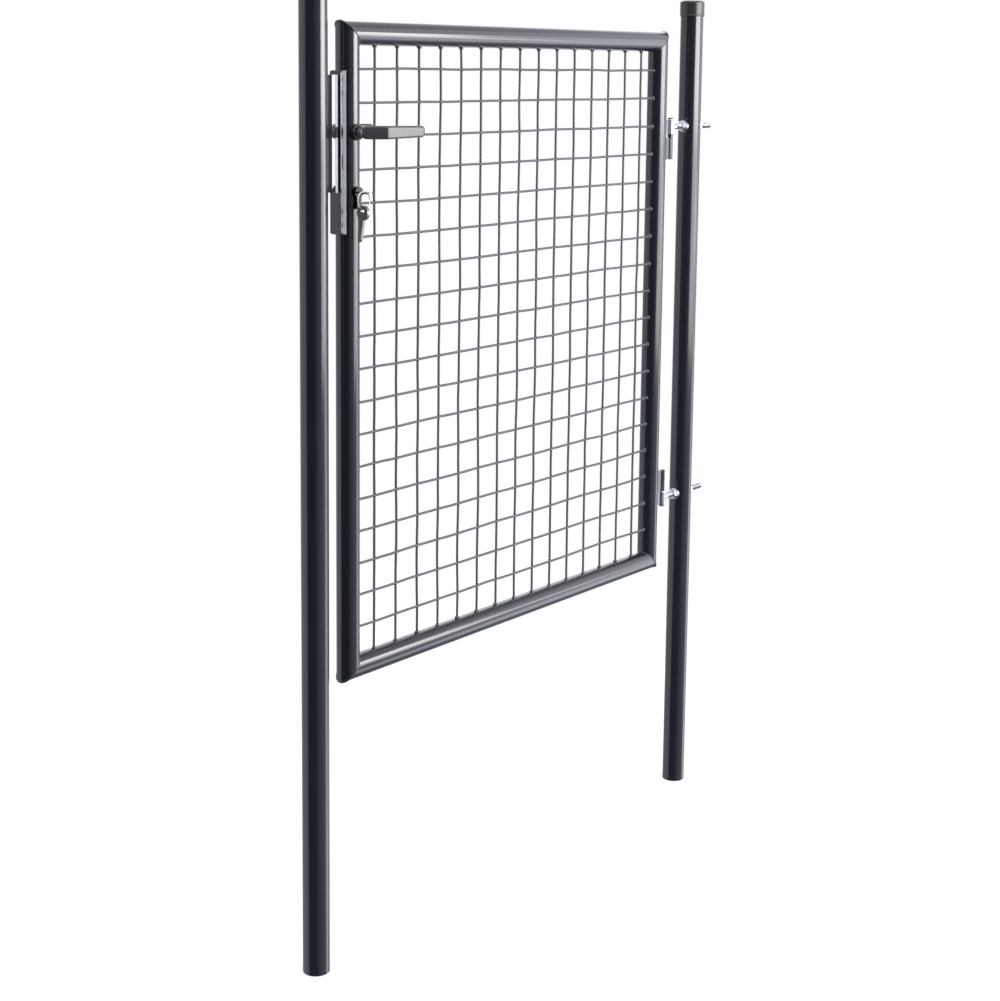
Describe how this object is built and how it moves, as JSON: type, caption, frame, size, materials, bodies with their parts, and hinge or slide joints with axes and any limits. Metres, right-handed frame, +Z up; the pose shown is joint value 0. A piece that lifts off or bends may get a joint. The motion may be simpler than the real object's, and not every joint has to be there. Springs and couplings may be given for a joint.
{
  "type": "mesh garden gate",
  "caption": "Single-leaf garden gate: a round-tube frame filled with welded square wire mesh, hung on eye-bolts between two round posts, with lever handles, mortice lock and keys.",
  "frame": {"origin": "centre of the flat foot of the hinge post, on the ground", "axes": "+Z up along the posts; +X away from the leaf, so the leaf and the latch post lie towards -X; the leaf swings open towards -Y, the side that shows the hinge on the right"},
  "size_m": [1.084, 0.114, 1.5055],
  "materials": {
    "paint": "glossy anthracite powder coat",
    "wire_paint": "glossy anthracite powder coat on welded wire",
    "cap_plastic": "satin black plastic",
    "zinc": "bright zinc plate",
    "handle": "satin dark grey coating",
    "nickel": "bright nickel plate"
  },
  "bodies": {
    "posts": {"hinge_post": "paint", "latch_post": "paint", "hinge_post_cap": "cap_plastic", "latch_post_cap": "cap_plastic", "upper_eye_bolt": "zinc", "lower_eye_bolt": "zinc", "upper_inner_nut": "zinc", "upper_outer_nut": "zinc", "lower_inner_nut": "zinc", "lower_outer_nut": "zinc", "upper_inner_washer": "zinc", "upper_outer_washer": "zinc", "lower_inner_washer": "zinc", "lower_outer_washer": "zinc", "latch_keep": "paint"},
    "leaf": {"latch_stile": "paint", "hinge_stile": "paint", "top_rail": "paint", "bottom_rail": "paint", "mesh_panel": "wire_paint", "upper_hinge_plate": "paint", "lower_hinge_plate": "paint", "upper_hinge_pin": "paint", "lower_hinge_pin": "paint", "lock_case": "zinc", "lock_faceplate": "zinc", "lock_cylinder": "nickel", "front_rose": "handle", "rear_rose": "handle", "rear_plug": "nickel"},
    "handle": {"front_lever": "handle", "rear_lever": "handle", "spindle": "zinc"},
    "latch": {"latch_bolt": "zinc"},
    "bolt": {"dead_bolt": "zinc"},
    "key": {"cylinder_plug": "nickel", "door_key": "nickel"},
    "ring": {"key_ring": "nickel", "spare_key_1": "nickel", "spare_key_2": "nickel"}
  },
  "joints": [
    {"name": "leaf_swing", "type": "hinge", "parent": "posts", "child": "leaf", "pos_m": [-0.064, 0, 1.2745], "axis": [0, 0, 1], "range_deg": [0, 120]},
    {"name": "handle_turn", "type": "hinge", "parent": "leaf", "child": "handle", "pos_m": [-0.921, 0, 1.284], "axis": [0, 1, 0], "range_deg": [0, 35], "stiffness_Nm_per_rad": 1.2, "springref_deg": -34.38},
    {"name": "latch_slide", "type": "slide", "parent": "leaf", "child": "latch", "axis": [1, 0, 0], "range_m": [0, 0.011]},
    {"name": "key_turn", "type": "hinge", "parent": "leaf", "child": "key", "pos_m": [-0.921, 0, 1.196], "axis": [0, 1, 0], "range_deg": [-90, 0]},
    {"name": "dead_bolt_slide", "type": "slide", "parent": "leaf", "child": "bolt", "axis": [-1, 0, 0], "range_m": [0, 0.018]},
    {"name": "ring_swing", "type": "hinge", "parent": "key", "child": "ring", "pos_m": [-0.921, -0.039, 1.196], "axis": [0, 1, 0], "range_deg": [0, 90]}
  ],
  "couplings": [
    {"joint": "latch_slide", "follows": "handle_turn", "m_per_rad": 0.018},
    {"joint": "key_turn", "follows": "dead_bolt_slide", "rad_per_m": -87.266}
  ]
}
